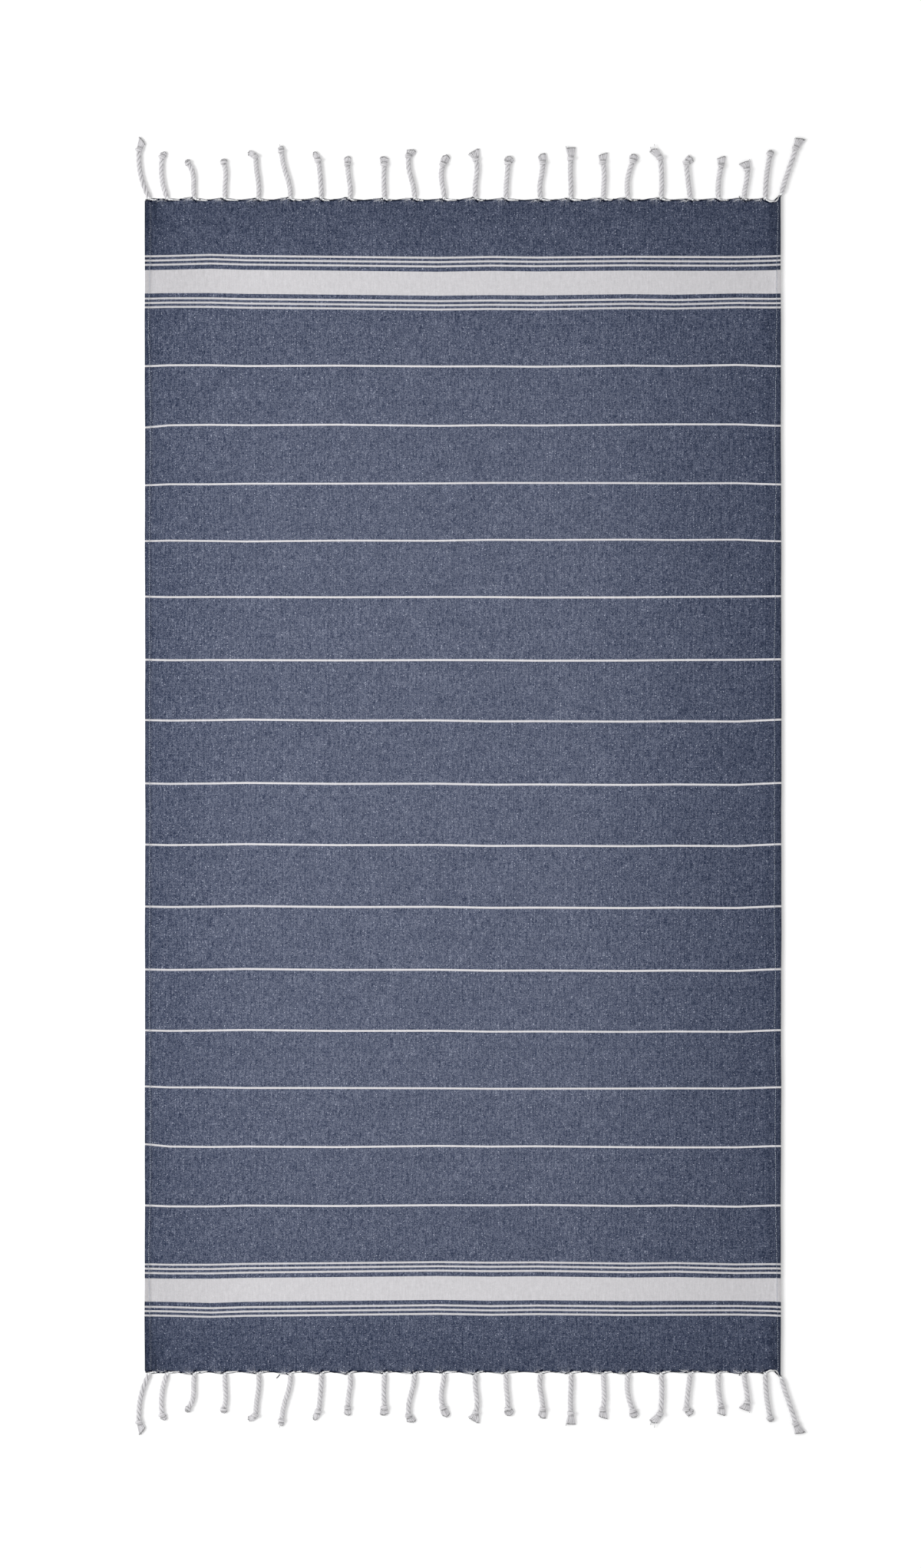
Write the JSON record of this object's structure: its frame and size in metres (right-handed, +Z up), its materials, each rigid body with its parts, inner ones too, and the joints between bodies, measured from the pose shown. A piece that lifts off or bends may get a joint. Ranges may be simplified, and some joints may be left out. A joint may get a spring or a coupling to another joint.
{
  "type": "hammam towel",
  "caption": "Flat-woven cotton towel lying flat, with pale woven bands across it, stitched side hems and a row of twisted, knotted fringe cords along each end.",
  "frame": {"origin": "on the surface it lies on, under the middle of the whole towel, fringe included", "axes": "+Z up out of the surface, +Y along the towel's length, +X across it"},
  "size_m": [1.035, 2.0114, 0.0103],
  "materials": {
    "chambray": "plain-woven cotton, white warp and dark blue weft, with woven white bands",
    "cotton": "undyed twisted cotton yarn, matt"
  },
  "bodies": {
    "root": {"cloth": "chambray", "fringe_top": "cotton", "fringe_bottom": "cotton"}
  },
  "joints": []
}
